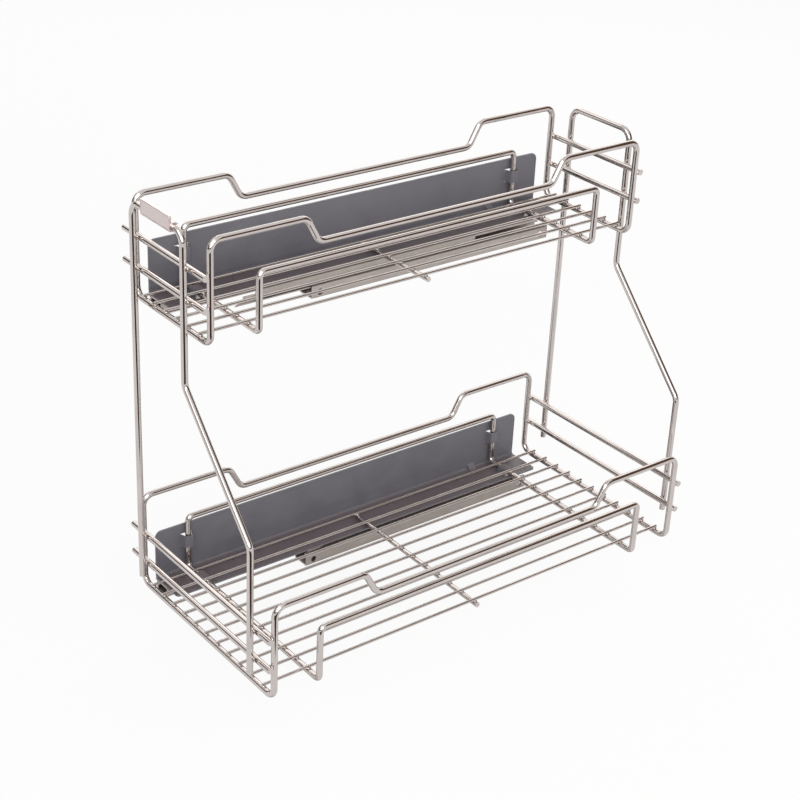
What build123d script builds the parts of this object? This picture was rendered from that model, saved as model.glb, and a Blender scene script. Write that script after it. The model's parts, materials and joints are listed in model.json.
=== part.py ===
from build123d import *
import os

# Pull-out detergent rack: two chromed wire baskets, one above the other, on telescopic rails that are
# screwed to a cabinet's side wall. Millimetres, +Z up. The wall is the plane Y = 0 and the rack stands
# on its -Y side, so +Y is the wall side and -Y the open side. X = 0 and Z = 0 are the middle of the four
# wall screws. The rack is drawn shut and pulls out towards -X, the door end; +X is the back end.

os.makedirs("parts", exist_ok=True)

# Wires
frame_wire_d = 6.0
floor_wire_d = 3.0
cross_wire_d = 5.0
weld_gap = 0.05

# Baskets, measured between wire centres and up from the bottom wires
basket_length = 480.0
lower_width = 222.0
upper_width = 122.0
tier_pitch = 300.0
end_height = 94.0
side_height = 70.5
inner_height = 55.5
raised_run = 95.0
ramp_run = 13.0
inner_inset = 48.0
hoop_bend_r = 10.0
inner_bend_r = 5.5
lower_wire_count = 11
upper_wire_count = 6
lower_wall_margin = 16.5
upper_wall_margin = 13.5
open_margin = 16.5
floor_overhang = 2.0
cross_overhang = 5.0

# Rails across the basket ends
high_rail_height = 62.5
low_rail_height = 33.0
rail_tail = 8.0
rail_lead = 3.0

# Frames that tie the two baskets together
frame_bend_r = 12.0
frame_wall_inset = 17.0
frame_upper_inset = 22.5
frame_lower_inset = 20.0
frame_top_height = 96.0
upper_elbow_drop = 44.5
lower_elbow_height = 147.5
frame_foot_height = 20.0

# Blank name plate clipped on the door-end frame
plate_wall_gap = 10.0
plate_open_gap = 0.5
plate_height = 14.0
plate_rise = 3.5
plate_sheet = 1.5
clip_play = 0.1
clip_wall = 1.3
clip_mouth = 4.4

# Carrier: one angle of painted sheet steel for each basket
carrier_sheet = 1.5
carrier_inset = 14.0
carrier_height = 47.5
carrier_bend_r = 2.5
flange_reach = 36.0
carrier_corner_r = 7.0
flange_corner_r = 4.0
strap_height = 30.0
strap_width = 12.0
strap_half_span = 6.5
strap_foot = 3.0
strap_bend_r = 1.6
strap_play = 0.15
strap_slit = 0.8
gusset_leg = 7.0
gusset_width = 8.0
gusset_inset = 60.0

# Rivets between a carrier and its top rail
rivet_d = 4.0
rivet_head_d = 8.0
rivet_head_height = 1.0
rivet_tail_d = 6.0
rivet_tail_height = 1.0
rivet_play = 0.05
rivet_spacing = 95.0
rivet_count = 4
rivet_inset = 7.0

# Telescopic rails: across
wall_gap = 13.0
slide_width = 21.0
fixed_sheet = 1.5
rail_sheet = 1.2
rail_bend_r = 1.3
screw_room = 3.0
fixed_hook = 1.6
side_play = 0.6
runner_reach = 30.5
runner_ledge = 4.0
skirt_lip = 16.6
foot_setback = 16.0

# Telescopic rails: up and down
seat_gap = 0.05
hook_play = 0.4
skirt_height = 10.4
runner_height = 20.2
mid_height = 11.6
glide_room = 9.9
fixed_height = 14.5

# Telescopic rails: along
fixed_length = 296.0
fixed_back_overhang = 13.0
lower_mid_lead = -11.0
upper_mid_lead = 71.0
mid_length = 273.0
channel_setback = 16.0
tip_wall_setback = 3.5
tip_middle_lead = 0.8
tip_room_lead = 14.6
stop_height = 5.6

# Glide blocks between the rails
glide_length = 20.0
glide_play = 0.1
glide_chamfer = 1.0
glide_end_inset = 2.0
fixed_glide_inset = 15.0

# Wall screws
screw_hole_d = 5.0
screw_access_d = 6.5
screw_end_inset = 9.0
screw_rise = 6.0
cut_overrun = 1.0

# Worked-out places along X and Y
frame_r = frame_wire_d / 2
carrier_length = basket_length - 2 * carrier_inset
fixed_back_x = fixed_length / 2
mid_x = fixed_back_x - fixed_back_overhang - carrier_length / 2
half_length = basket_length / 2
inner_half = half_length - inner_inset
hoop_y = -wall_gap
rail_step = frame_wire_d + weld_gap
carrier_face_y = hoop_y + frame_r + weld_gap
carrier_mid_y = carrier_face_y + carrier_sheet / 2
carrier_door_x = mid_x - carrier_length / 2
base_half = (slide_width - 2 * fixed_sheet - screw_room - side_play) / 2
slide_y = -fixed_sheet - screw_room - base_half
rivet_y = rivet_inset - runner_reach

# Worked-out heights, measured from a basket's bottom wires
flange_top = -frame_r - weld_gap
flange_mid = flange_top - carrier_sheet / 2
flange_bottom = flange_top - carrier_sheet
cover_top = flange_bottom - seat_gap
floor_rise = frame_r + weld_gap + floor_wire_d / 2
cross_rise = floor_rise - floor_wire_d / 2 - weld_gap - cross_wire_d / 2


foot_bottom = cover_top - runner_height
mid_top = foot_bottom + 2 * rail_sheet + hook_play
mid_bottom = mid_top - mid_height
fixed_bottom = mid_bottom - glide_room - fixed_sheet
lower_z = -tier_pitch / 2 - fixed_bottom - screw_rise
upper_z = lower_z + tier_pitch


def hand_in(part, name):
    """Label a finished piece and write it."""
    part.label = name
    export_step(part, f"parts/{name}.step")


def bent_wire(points, diameter, bend_r):
    """A round wire along straight runs joined by tangent bends."""
    with BuildPart() as wire:
        with BuildLine() as route:
            FilletPolyline(*points, radius=bend_r)
        with BuildSketch(Plane(origin=route.line @ 0, z_dir=route.line % 0)):
            Circle(diameter / 2)
        sweep()
    return wire.part


def hoop(half_points, bend_r):
    """A closed hoop: one bent half, mirrored about the middle of the basket."""
    half = bent_wire(half_points, frame_wire_d, bend_r)
    with BuildPart() as ring:
        add(half)
        mirror(about=Plane.YZ.offset(mid_x))
    return ring.part


def straight_wire(start, direction, length, diameter):
    """A straight round wire."""
    with BuildPart() as wire:
        with BuildSketch(Plane(origin=start, z_dir=direction)):
            Circle(diameter / 2)
        extrude(amount=length)
    return wire.part


# Outer hoops: low along the sides, raised at both ends
def outer_hoop(tier_z, width):
    """The large hoop, whose ends rise above its long sides."""
    open_y = hoop_y - width
    low_end_x = mid_x + half_length - raised_run - ramp_run
    raised_x = mid_x + half_length - raised_run
    end_x = mid_x + half_length
    side = [
        (mid_x, side_height),
        (low_end_x, side_height),
        (raised_x, end_height),
        (end_x, end_height),
        (end_x, 0),
    ]
    points = [(x, open_y, tier_z + z) for x, z in side]
    points += [(x, hoop_y, tier_z + z) for x, z in reversed(side)]
    return hoop(points, hoop_bend_r)


# Inner hoops: shorter and lower, inside the outer ones
def inner_hoop(tier_z, width):
    """The small hoop, whose wall-side uprights the carrier holds."""
    open_y = hoop_y - width
    end_x = mid_x + inner_half
    side = [(mid_x, inner_height), (end_x, inner_height), (end_x, 0)]
    points = [(x, open_y, tier_z + z) for x, z in side]
    points += [(x, hoop_y, tier_z + z) for x, z in reversed(side)]
    return hoop(points, inner_bend_r)


baskets = (
    ("lower", lower_z, lower_width, lower_wall_margin, lower_wire_count),
    ("upper", upper_z, upper_width, upper_wall_margin, upper_wire_count),
)
ends = (("door", -1), ("back", 1))

for tier, tier_z, width, wall_margin, wire_count in baskets:
    hand_in(outer_hoop(tier_z, width), f"{tier}_outer_hoop")
    hand_in(inner_hoop(tier_z, width), f"{tier}_inner_hoop")

    # Floor wires lie along X on the hoops' bottom wires
    floor_span = width - wall_margin - open_margin
    floor_pitch = floor_span / (wire_count - 1)
    floor_start_x = mid_x - half_length - floor_overhang
    floor_length = basket_length + 2 * floor_overhang
    for index in range(wire_count):
        wire_y = hoop_y - wall_margin - index * floor_pitch
        start = (floor_start_x, wire_y, tier_z + floor_rise)
        wire = straight_wire(start, (1, 0, 0), floor_length, floor_wire_d)
        hand_in(wire, f"{tier}_floor_wire_{index + 1:02d}")

    # One thicker wire crosses under the floor wires at mid-length
    cross_start = (mid_x, hoop_y - wall_margin + cross_overhang, tier_z + cross_rise)
    cross_length = floor_span + 2 * cross_overhang
    cross = straight_wire(cross_start, (0, -1, 0), cross_length, cross_wire_d)
    hand_in(cross, f"{tier}_cross_wire")

    # Two rails lie across each end, outside the outer hoop's uprights
    for end, side in ends:
        for level, height in (("high", high_rail_height), ("low", low_rail_height)):
            start = (mid_x + side * (half_length + rail_step), hoop_y + rail_tail, tier_z + height)
            rail = straight_wire(start, (0, -1, 0), width + rail_tail + rail_lead, frame_wire_d)
            hand_in(rail, f"{tier}_{end}_rail_{level}")


# End frames: a bent wire over the outside of both baskets' end rails
for end, side in ends:
    frame_x = mid_x + side * (half_length + 2 * rail_step)
    wall_post_y = hoop_y - frame_wall_inset
    upper_post_y = hoop_y - upper_width + frame_upper_inset
    lower_post_y = hoop_y - lower_width + frame_lower_inset
    foot_z = lower_z + frame_foot_height
    top_z = upper_z + frame_top_height
    bends = [
        (frame_x, wall_post_y, foot_z),
        (frame_x, wall_post_y, top_z),
        (frame_x, upper_post_y, top_z),
        (frame_x, upper_post_y, upper_z - upper_elbow_drop),
        (frame_x, lower_post_y, lower_z + lower_elbow_height),
        (frame_x, lower_post_y, foot_z),
    ]
    hand_in(bent_wire(bends, frame_wire_d, frame_bend_r), f"{end}_end_frame")


# Blank name plate: a flat tag with a spring clip behind it, on the straight of the door-end frame's top
plate_wall_y = hoop_y - frame_wall_inset - frame_bend_r - plate_wall_gap
plate_open_y = hoop_y - upper_width + frame_upper_inset + frame_bend_r + plate_open_gap
plate_length = plate_wall_y - plate_open_y
badge_x = mid_x - half_length - 2 * rail_step
badge_y = (plate_wall_y + plate_open_y) / 2
badge_z = upper_z + frame_top_height
clip_inner_r = frame_r + clip_play
tag_mid_x = -clip_inner_r - plate_sheet / 2
with BuildPart() as name_plate:
    with BuildSketch(Plane(origin=(badge_x, badge_y, badge_z), x_dir=(1, 0, 0), z_dir=(0, -1, 0))):
        Circle(clip_inner_r + clip_wall)
        with Locations((tag_mid_x, plate_rise)):
            Rectangle(plate_sheet, plate_height)
        Circle(clip_inner_r, mode=Mode.SUBTRACT)
        with Locations((clip_inner_r + clip_wall / 2, 0)):
            Rectangle(2 * clip_inner_r, clip_mouth, mode=Mode.SUBTRACT)
    extrude(amount=plate_length / 2, both=True)
hand_in(name_plate.part, "name_plate")


# Carriers: an angle with pressed straps that hold the inner hoop to its upright and to its flange
strap_inner = frame_wire_d + weld_gap + strap_play
strap_crown = strap_inner + carrier_sheet
strap_crown_half = frame_r + strap_play + carrier_sheet / 2
strap_route = [
    (-strap_half_span - strap_foot, 0),
    (-strap_half_span, 0),
    (-strap_crown_half, strap_crown),
    (strap_crown_half, strap_crown),
    (strap_half_span, 0),
    (strap_half_span + strap_foot, 0),
]
window_length = 2 * strap_half_span + strap_foot
window_width = strap_width + 2 * strap_slit
strap_xs = (mid_x - inner_half, mid_x + inner_half)

for tier, tier_z, width, wall_margin, wire_count in baskets:
    floor_pitch = (width - wall_margin - open_margin) / (wire_count - 1)
    flange_strap_y = hoop_y - wall_margin - floor_pitch / 2
    with BuildPart() as carrier:
        with BuildSketch(Plane.YZ.offset(carrier_door_x)):
            with BuildLine():
                FilletPolyline(
                    (carrier_mid_y, tier_z + carrier_height),
                    (carrier_mid_y, tier_z + flange_mid),
                    (hoop_y - flange_reach, tier_z + flange_mid),
                    radius=carrier_bend_r + carrier_sheet / 2,
                )
            trace(line_width=carrier_sheet)
        extrude(amount=carrier_length)
        fillet(carrier.edges().filter_by(Axis.Y).group_by(Axis.Z)[-1], carrier_corner_r)
        fillet(carrier.edges().filter_by(Axis.Z).group_by(Axis.Y)[0], flange_corner_r)

        # Windows that the straps are pressed out of
        with BuildSketch(Plane.XZ.offset(-carrier_mid_y)):
            with Locations(*[(x, tier_z + strap_height) for x in strap_xs]):
                Rectangle(window_length, window_width)
        extrude(amount=carrier_sheet, both=True, mode=Mode.SUBTRACT)
        with BuildSketch(Plane.XY.offset(tier_z + flange_mid)):
            with Locations(*[(x, flange_strap_y) for x in strap_xs]):
                Rectangle(window_length, window_width)
        extrude(amount=carrier_sheet, both=True, mode=Mode.SUBTRACT)

        # Straps over the uprights and over the bottom wires of the inner hoop
        for x in strap_xs:
            with BuildSketch(Plane.XY.offset(tier_z + strap_height)):
                with BuildLine():
                    FilletPolyline(
                        *[(x + u, carrier_mid_y - v) for u, v in strap_route], radius=strap_bend_r
                    )
                trace(line_width=carrier_sheet)
            extrude(amount=strap_width / 2, both=True)
            with BuildSketch(Plane.XZ.offset(-flange_strap_y)):
                with BuildLine():
                    FilletPolyline(
                        *[(x + u, tier_z + flange_mid + v) for u, v in strap_route], radius=strap_bend_r
                    )
                trace(line_width=carrier_sheet)
            extrude(amount=strap_width / 2, both=True)

        # Pressed gusset that stiffens the bend near the back end
        with BuildSketch(Plane.YZ.offset(carrier_door_x + carrier_length - gusset_inset)):
            with BuildLine():
                Polyline(
                    (carrier_mid_y, tier_z + flange_mid + gusset_leg),
                    (carrier_mid_y - gusset_leg, tier_z + flange_mid),
                    (carrier_mid_y, tier_z + flange_mid),
                    close=True,
                )
            make_face()
        extrude(amount=gusset_width / 2, both=True)

        # Rivet holes in the flange
        with BuildSketch(Plane.XY.offset(tier_z + flange_mid)):
            with Locations((mid_x, rivet_y)):
                with GridLocations(rivet_spacing, 0, rivet_count, 1):
                    Circle(rivet_d / 2 + rivet_play)
        extrude(amount=carrier_sheet, both=True, mode=Mode.SUBTRACT)
    hand_in(carrier.part, f"{tier}_carrier")


# Telescopic rails: a fixed rail on the wall, a middle rail in it and a top rail under the carrier
fixed_lip_half = base_half - fixed_hook
mid_half = fixed_lip_half - side_play
foot_half = mid_half - rail_sheet - side_play
mid_lip_half = rail_sheet + side_play
fixed_lip_mid = fixed_bottom + fixed_height - fixed_sheet / 2
mid_floor_top = mid_bottom + 2 * rail_sheet
base_top = mid_bottom + rail_sheet
cover_mid = cover_top - rail_sheet / 2
skirt_bottom = cover_top - skirt_height
skirt_mid = skirt_bottom + rail_sheet / 2
screw_xs = (-fixed_back_x + screw_end_inset, fixed_back_x - screw_end_inset)

for tier, tier_z, mid_lead in (("lower", lower_z, lower_mid_lead), ("upper", upper_z, upper_mid_lead)):
    # Fixed rail: a lipped channel whose wall side takes the screws
    with BuildPart() as fixed_rail:
        with BuildSketch(Plane.YZ.offset(-fixed_back_x)):
            with BuildLine():
                FilletPolyline(
                    (slide_y - fixed_lip_half, tier_z + fixed_lip_mid),
                    (fixed_sheet / 2 - slide_width, tier_z + fixed_lip_mid),
                    (fixed_sheet / 2 - slide_width, tier_z + fixed_bottom + fixed_sheet / 2),
                    (-fixed_sheet / 2, tier_z + fixed_bottom + fixed_sheet / 2),
                    (-fixed_sheet / 2, tier_z + fixed_lip_mid),
                    (slide_y + fixed_lip_half, tier_z + fixed_lip_mid),
                    radius=rail_bend_r,
                )
            trace(line_width=fixed_sheet)
        extrude(amount=fixed_length)
        screw_places = [(x, tier_z + fixed_bottom + screw_rise) for x in screw_xs]
        with BuildSketch(Plane.XZ):
            with Locations(*screw_places):
                Circle(screw_hole_d / 2)
        extrude(amount=fixed_sheet + cut_overrun, mode=Mode.SUBTRACT)
        with BuildSketch(Plane.XZ.offset(slide_width)):
            with Locations(*screw_places):
                Circle(screw_access_d / 2)
        extrude(amount=-fixed_sheet - cut_overrun, mode=Mode.SUBTRACT)
    hand_in(fixed_rail.part, f"{tier}_fixed_rail")

    # Middle rail: a lipped channel on a base strip that the fixed rail's lips hold down. At the door end the
    # strip runs out in a slanted tip, and a stop closes the channel under the top rail's feet
    mid_door_x = -fixed_back_x - mid_lead
    mid_back_x = mid_door_x + mid_length
    channel_x = mid_door_x + channel_setback
    with BuildPart() as mid_rail:
        with BuildSketch(Plane.YZ.offset(channel_x)):
            with BuildLine():
                FilletPolyline(
                    (slide_y - mid_lip_half, tier_z + mid_top - rail_sheet / 2),
                    (slide_y - mid_half + rail_sheet / 2, tier_z + mid_top - rail_sheet / 2),
                    (slide_y - mid_half + rail_sheet / 2, tier_z + mid_floor_top - rail_sheet / 2),
                    (slide_y + mid_half - rail_sheet / 2, tier_z + mid_floor_top - rail_sheet / 2),
                    (slide_y + mid_half - rail_sheet / 2, tier_z + mid_top - rail_sheet / 2),
                    (slide_y + mid_lip_half, tier_z + mid_top - rail_sheet / 2),
                    radius=rail_bend_r,
                )
            trace(line_width=rail_sheet)
        extrude(amount=mid_length - channel_setback)
        with BuildSketch(Plane.YZ.offset(channel_x)):
            with Locations((slide_y, tier_z + mid_floor_top)):
                Rectangle(2 * mid_half - rail_sheet, stop_height, align=(Align.CENTER, Align.MIN))
        extrude(amount=rail_sheet)
        with BuildSketch(Plane.XY.offset(tier_z + base_top)):
            with BuildLine():
                Polyline(
                    (mid_back_x, slide_y + base_half),
                    (mid_door_x + tip_wall_setback, slide_y + base_half),
                    (mid_door_x - tip_middle_lead, slide_y),
                    (mid_door_x - tip_room_lead, slide_y - base_half),
                    (mid_back_x, slide_y - base_half),
                    close=True,
                )
            make_face()
        extrude(amount=-rail_sheet)
    hand_in(mid_rail.part, f"{tier}_middle_rail")

    # Top rail: a strip folded to an open box and an angle, back to back, whose feet run under the middle
    # rail's lips and stop short of the door end
    with BuildPart() as top_rail:
        with BuildSketch(Plane.YZ.offset(carrier_door_x)):
            with BuildLine():
                FilletPolyline(
                    (rail_sheet / 2 - runner_reach + skirt_lip, tier_z + skirt_mid),
                    (rail_sheet / 2 - runner_reach, tier_z + skirt_mid),
                    (rail_sheet / 2 - runner_reach, tier_z + cover_mid),
                    (slide_y - rail_sheet / 2, tier_z + cover_mid),
                    (slide_y - rail_sheet / 2, tier_z + foot_bottom + rail_sheet / 2),
                    (slide_y - foot_half, tier_z + foot_bottom + rail_sheet / 2),
                    radius=rail_bend_r,
                )
            trace(line_width=rail_sheet)
            with BuildLine():
                FilletPolyline(
                    (slide_y + runner_ledge, tier_z + cover_mid),
                    (slide_y + rail_sheet / 2, tier_z + cover_mid),
                    (slide_y + rail_sheet / 2, tier_z + foot_bottom + rail_sheet / 2),
                    (slide_y + foot_half, tier_z + foot_bottom + rail_sheet / 2),
                    radius=rail_bend_r,
                )
            trace(line_width=rail_sheet)
        extrude(amount=carrier_length)
        with BuildSketch(Plane.YZ.offset(carrier_door_x)):
            with Locations((slide_y, tier_z + skirt_bottom)):
                Rectangle(2 * mid_half, runner_height, align=(Align.CENTER, Align.MAX))
        extrude(amount=foot_setback, mode=Mode.SUBTRACT)
        with BuildSketch(Plane.XY.offset(tier_z + cover_top)):
            with Locations((mid_x, rivet_y)):
                with GridLocations(rivet_spacing, 0, rivet_count, 1):
                    Circle(rivet_d / 2 + rivet_play)
        extrude(amount=-rail_sheet - cut_overrun, mode=Mode.SUBTRACT)
    hand_in(top_rail.part, f"{tier}_top_rail")

    # Rivets through the flange and the top rail
    with BuildPart() as rivets:
        with BuildSketch(Plane.XY.offset(tier_z + flange_top)):
            with Locations((mid_x, rivet_y)):
                with GridLocations(rivet_spacing, 0, rivet_count, 1):
                    Circle(rivet_head_d / 2)
        extrude(amount=rivet_head_height)
        with BuildSketch(Plane.XY.offset(tier_z + flange_top)):
            with Locations((mid_x, rivet_y)):
                with GridLocations(rivet_spacing, 0, rivet_count, 1):
                    Circle(rivet_d / 2)
        extrude(amount=cover_top - rail_sheet - flange_top)
        with BuildSketch(Plane.XY.offset(tier_z + cover_top - rail_sheet)):
            with Locations((mid_x, rivet_y)):
                with GridLocations(rivet_spacing, 0, rivet_count, 1):
                    Circle(rivet_tail_d / 2)
        extrude(amount=-rivet_tail_height)
    hand_in(rivets.part, f"{tier}_rivets")

    # Glide blocks: two carry the middle rail in the fixed one, and two the top rail in the middle one
    fixed_floor_z = tier_z + fixed_bottom + fixed_sheet
    mid_floor_z = tier_z + mid_floor_top
    low_width = 2 * (base_half - side_play)
    high_width = 2 * foot_half
    high_room = foot_bottom - mid_floor_top
    top_glide_x = min(mid_back_x, carrier_door_x + carrier_length) - glide_length - glide_end_inset
    blocks = (
        ("fixed_glide", -fixed_back_x + fixed_glide_inset, fixed_floor_z, low_width, glide_room),
        ("middle_back_glide", mid_back_x - glide_length, fixed_floor_z + glide_play, low_width, glide_room),
        ("middle_door_glide", channel_x + glide_end_inset, mid_floor_z, high_width, high_room),
        ("top_back_glide", top_glide_x, mid_floor_z + glide_play, high_width, high_room),
    )
    for block, block_x, block_z, block_width, room in blocks:
        with BuildPart() as glide:
            with BuildSketch(Plane.XY.offset(block_z)):
                with Locations((block_x + glide_length / 2, slide_y)):
                    Rectangle(glide_length, block_width)
            extrude(amount=room - glide_play)
            chamfer(glide.edges().filter_by(Axis.Y), glide_chamfer)
        hand_in(glide.part, f"{tier}_{block}")
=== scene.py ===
import json
import math
import random

import bmesh
import bpy
from bpy.props import FloatProperty, FloatVectorProperty, PointerProperty
from mathutils import Matrix, Vector

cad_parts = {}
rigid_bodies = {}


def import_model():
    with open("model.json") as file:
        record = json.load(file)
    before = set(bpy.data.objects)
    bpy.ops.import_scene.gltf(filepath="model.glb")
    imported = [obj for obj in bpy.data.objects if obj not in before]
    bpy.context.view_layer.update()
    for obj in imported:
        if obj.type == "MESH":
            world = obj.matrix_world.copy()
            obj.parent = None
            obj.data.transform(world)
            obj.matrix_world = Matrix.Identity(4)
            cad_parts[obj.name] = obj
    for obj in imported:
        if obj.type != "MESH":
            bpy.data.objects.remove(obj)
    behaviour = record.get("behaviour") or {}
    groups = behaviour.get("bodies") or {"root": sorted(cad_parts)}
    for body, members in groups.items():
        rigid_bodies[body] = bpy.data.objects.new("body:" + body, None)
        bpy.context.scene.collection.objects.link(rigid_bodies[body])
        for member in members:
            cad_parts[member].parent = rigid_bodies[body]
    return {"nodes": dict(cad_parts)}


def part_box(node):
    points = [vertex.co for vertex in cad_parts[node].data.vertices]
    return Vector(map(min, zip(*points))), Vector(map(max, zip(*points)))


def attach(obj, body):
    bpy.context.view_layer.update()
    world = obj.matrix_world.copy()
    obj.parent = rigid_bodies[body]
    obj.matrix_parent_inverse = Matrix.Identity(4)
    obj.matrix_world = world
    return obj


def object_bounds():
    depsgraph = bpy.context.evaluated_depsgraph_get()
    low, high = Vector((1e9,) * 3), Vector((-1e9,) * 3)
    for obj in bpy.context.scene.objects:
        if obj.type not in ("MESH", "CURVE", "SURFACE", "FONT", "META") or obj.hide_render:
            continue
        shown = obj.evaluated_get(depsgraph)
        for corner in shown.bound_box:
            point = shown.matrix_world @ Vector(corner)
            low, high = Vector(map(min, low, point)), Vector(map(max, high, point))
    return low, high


bl_info = {
    "name": "Detergent rack",
    "version": (1, 0, 0),
    "blender": (4, 5, 0),
    "location": "View3D > Sidebar > Rack",
    "description": "Finishes, welds and studio stage of a two-tier pull-out detergent rack",
    "category": "Object",
}

for leftover in list(bpy.data.objects):
    bpy.data.objects.remove(leftover)

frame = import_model()
CAD_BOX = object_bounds()
CAD_MIDDLE = (CAD_BOX[0] + CAD_BOX[1]) / 2

MM = 0.001
TIERS = ("lower", "upper")
ENDS = ("door", "back")
LEVELS = ("low", "high")
FLOOR_WIRES = {
    tier: sorted(name for name in frame["nodes"] if name.startswith(tier + "_floor_wire_"))
    for tier in TIERS
}

# The camera looks over the door end and the open side of the rack.
EYE = Vector((-1.02033, -1.25433, 0.82274))
EYE_RIGHT = Vector((0.79457, -0.60565, 0.04306))
EYE_UP = Vector((0.24871, 0.38935, 0.88688))
EYE_BACK = Vector((-0.55390, -0.69397, 0.46000))
# Direction of the camera round the rack, seen from above.
EYE_TURN = math.atan2(EYE.y - CAD_MIDDLE.y, EYE.x - CAD_MIDDLE.x)
SENSOR_WIDTH_MM = 36.0
NEAR_CLIP = 20 * MM


def node_middle(name):
    """Find the middle of a solid's box."""
    low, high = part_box(name)
    return (low + high) / 2


def rail_name(tier, end, level):
    """Name an end rail of a basket."""
    return f"{tier}_{end}_rail_{level}"


RAIL_LOW, RAIL_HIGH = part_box(rail_name("lower", "door", "low"))
WIRE_R = (RAIL_HIGH.x - RAIL_LOW.x) / 2


class RackFinishes(bpy.types.PropertyGroup):
    """Colours and surface values of the rack's finishes"""

    chrome_colour: FloatVectorProperty(
        name="Chrome", description="Colour of the plated wire",
        subtype="COLOR", size=3, min=0, max=1, default=(0.57, 0.522, 0.500))
    chrome_rough: FloatProperty(
        name="Chrome roughness", description="Roughness of the cleanest plating",
        subtype="FACTOR", min=0, max=1, default=0.07)
    paint_colour: FloatVectorProperty(
        name="Carrier paint", description="Colour of the painted carriers",
        subtype="COLOR", size=3, min=0, max=1, default=(0.135, 0.130, 0.148))
    paint_rough: FloatProperty(
        name="Paint roughness", description="Roughness of the powder coat",
        subtype="FACTOR", min=0, max=1, default=0.42)
    # Tone of the carriers' faces that look up: partly dust, partly a painted tone for their
    # reflections and shade.
    dust_and_shade_colour: FloatVectorProperty(
        name="Dust on paint", description="Colour of the dusty faces of the carriers that look up",
        subtype="COLOR", size=3, min=0, max=1, default=(0.185, 0.150, 0.156))
    haze_colour: FloatVectorProperty(
        name="Haze on paint", description="Colour of the thin patchy dust all over the carriers",
        subtype="COLOR", size=3, min=0, max=1, default=(0.36, 0.35, 0.35))
    zinc_colour: FloatVectorProperty(
        name="Zinc", description="Colour of the zinc-plated slides",
        subtype="COLOR", size=3, min=0, max=1, default=(0.495, 0.441, 0.407))
    zinc_rough: FloatProperty(
        name="Zinc roughness", description="Roughness of the zinc plating",
        subtype="FACTOR", min=0, max=1, default=0.34)
    # Dark colour of the slides' hollows: partly lubricant and dirt, partly painted shade.
    grease_and_shade_colour: FloatVectorProperty(
        name="Grease_and_shade", description="Colour of the grease in the slides' hollows",
        subtype="COLOR", size=3, min=0, max=1, default=(0.020, 0.017, 0.015))
    nylon_colour: FloatVectorProperty(
        name="Nylon", description="Colour of the glides inside the slides",
        subtype="COLOR", size=3, min=0, max=1, default=(0.055, 0.053, 0.050))
    plate_colour: FloatVectorProperty(
        name="Name plate", description="Colour of the brushed aluminium plate",
        subtype="COLOR", size=3, min=0, max=1, default=(0.70, 0.612, 0.604))


class RackSizes(bpy.types.PropertyGroup):
    """Sizes of the welds and of the worked edges"""

    floor_weld: FloatProperty(
        name="Floor weld", description="Reach of a weld between a floor wire and the wire under it",
        unit="LENGTH", min=0.0005, max=0.01, precision=4, default=2.1 * MM)
    rail_weld: FloatProperty(
        name="Rail weld", description="Reach of a weld between an end rail and an upright",
        unit="LENGTH", min=0.0005, max=0.01, precision=4, default=2.7 * MM)
    weld_thickness: FloatProperty(
        name="Weld thickness", description="Half thickness of a weld's middle",
        unit="LENGTH", min=0.0001, max=0.005, precision=4, default=0.85 * MM)
    wire_chamfer: FloatProperty(
        name="Wire end", description="Rounding of the cut wire ends",
        unit="LENGTH", min=0, max=0.002, precision=5, default=0.55 * MM)
    plate_rim: FloatProperty(
        name="Plate rim", description="Half width of the rim pressed into the name plate",
        unit="LENGTH", min=0.0001, max=0.002, precision=5, default=0.45 * MM)


class RackStage(bpy.types.PropertyGroup):
    """Light, floor and lens of the studio"""

    floor_colour: FloatVectorProperty(
        name="Floor", description="Colour of the pale floor",
        subtype="COLOR", size=3, min=0, max=1, default=(0.92, 0.91, 0.90))
    shadow_share: FloatProperty(
        name="Shadow", description="How much of the rack's shadow the floor shows",
        subtype="FACTOR", min=0, max=1, default=0.09)
    room_colour: FloatVectorProperty(
        name="Dark cards", description="Colour of the cards that the bright metal reflects",
        subtype="COLOR", size=3, min=0, max=1, default=(0.062, 0.037, 0.024))
    brown_colour: FloatVectorProperty(
        name="Brown card", description="Colour of the card that the long wires reflect",
        subtype="COLOR", size=3, min=0, max=1, default=(0.130, 0.076, 0.050))
    glow_colour: FloatVectorProperty(
        name="Glow", description="Colour of the lamp that the wires' tops reflect",
        subtype="COLOR", size=3, min=0, max=1, default=(1.0, 0.92, 0.86))
    shade_colour: FloatVectorProperty(
        name="Shaded floor", description="Colour of the floor under the rack in the bright metal",
        subtype="COLOR", size=3, min=0, max=1, default=(0.64, 0.63, 0.62))
    sky_level: FloatProperty(
        name="Soft light", description="Level of the even light from all round",
        min=0, max=4, default=0.45)
    key_power: FloatProperty(
        name="Key lamp", description="Power of the soft lamp above the door end",
        unit="POWER", min=0, max=400, default=34)
    lens: FloatProperty(
        name="Lens", description="Focal length in millimetres on a 36 mm sensor",
        min=10, max=300, default=78.4506)


def add_node(tree, kind, values=None, **settings):
    """Add a shader node with its settings and the values of its inputs."""
    made = tree.nodes.new(kind)
    for key, value in settings.items():
        setattr(made, key, value)
    for key, value in (values or {}).items():
        made.inputs[key].default_value = value
    return made


def link(tree, source, target):
    """Join an output of a node to an input of another."""
    tree.links.new(source, target)


def spread(tree, source, low=0.0, high=1.0, from_low=0.3, from_high=0.7):
    """Map a value onto a range, by default from the usual reach of a noise."""
    ranged = add_node(tree, "ShaderNodeMapRange", {
        "From Min": from_low, "From Max": from_high, "To Min": low, "To Max": high})
    link(tree, source, ranged.inputs["Value"])
    return ranged.outputs["Result"]


def weaken(tree, mask, most):
    """Scale a mask down to the share that it covers at most."""
    return spread(tree, mask, high=most, from_low=0.0, from_high=1.0)


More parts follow.
